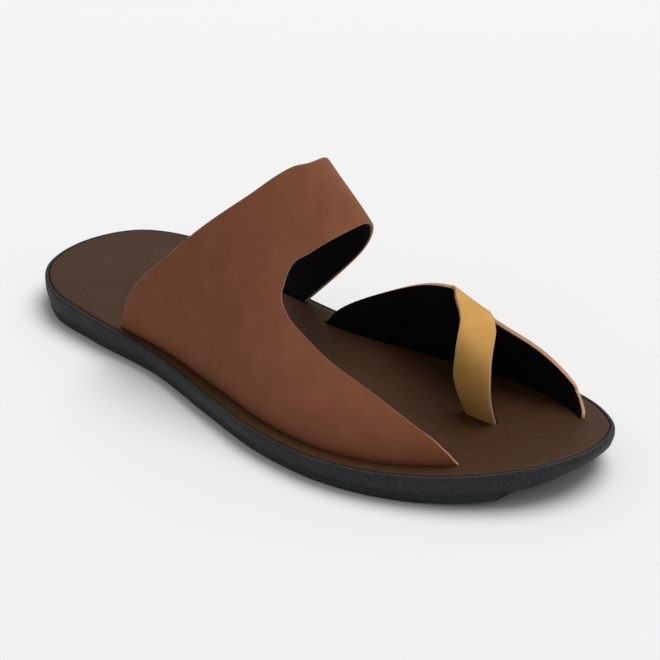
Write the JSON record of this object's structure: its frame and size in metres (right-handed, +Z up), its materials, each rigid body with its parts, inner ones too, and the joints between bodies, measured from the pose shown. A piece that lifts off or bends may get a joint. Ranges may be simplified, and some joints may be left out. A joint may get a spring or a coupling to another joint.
{
  "type": "house slipper",
  "caption": "Right-foot open house slipper: flat rubber sole, leather footbed, wide instep strap and a narrow strap that loops round the big toe.",
  "frame": {"origin": "centre of the bounding box's bottom face, on the ground", "axes": "+X to the toe, +Y to the inner side of the foot, +Z up"},
  "size_m": [0.2812, 0.1126, 0.0887],
  "materials": {
    "outsole": "matt speckled charcoal",
    "footbed": "smooth dark brown with a soft sheen",
    "instep_strap": "matt brown nubuck over a black lining",
    "toe_strap": "matt mustard nubuck over a black lining"
  },
  "bodies": {
    "root": {"outsole": "outsole", "footbed": "footbed", "instep_strap": "instep_strap", "toe_strap": "toe_strap"}
  },
  "joints": []
}
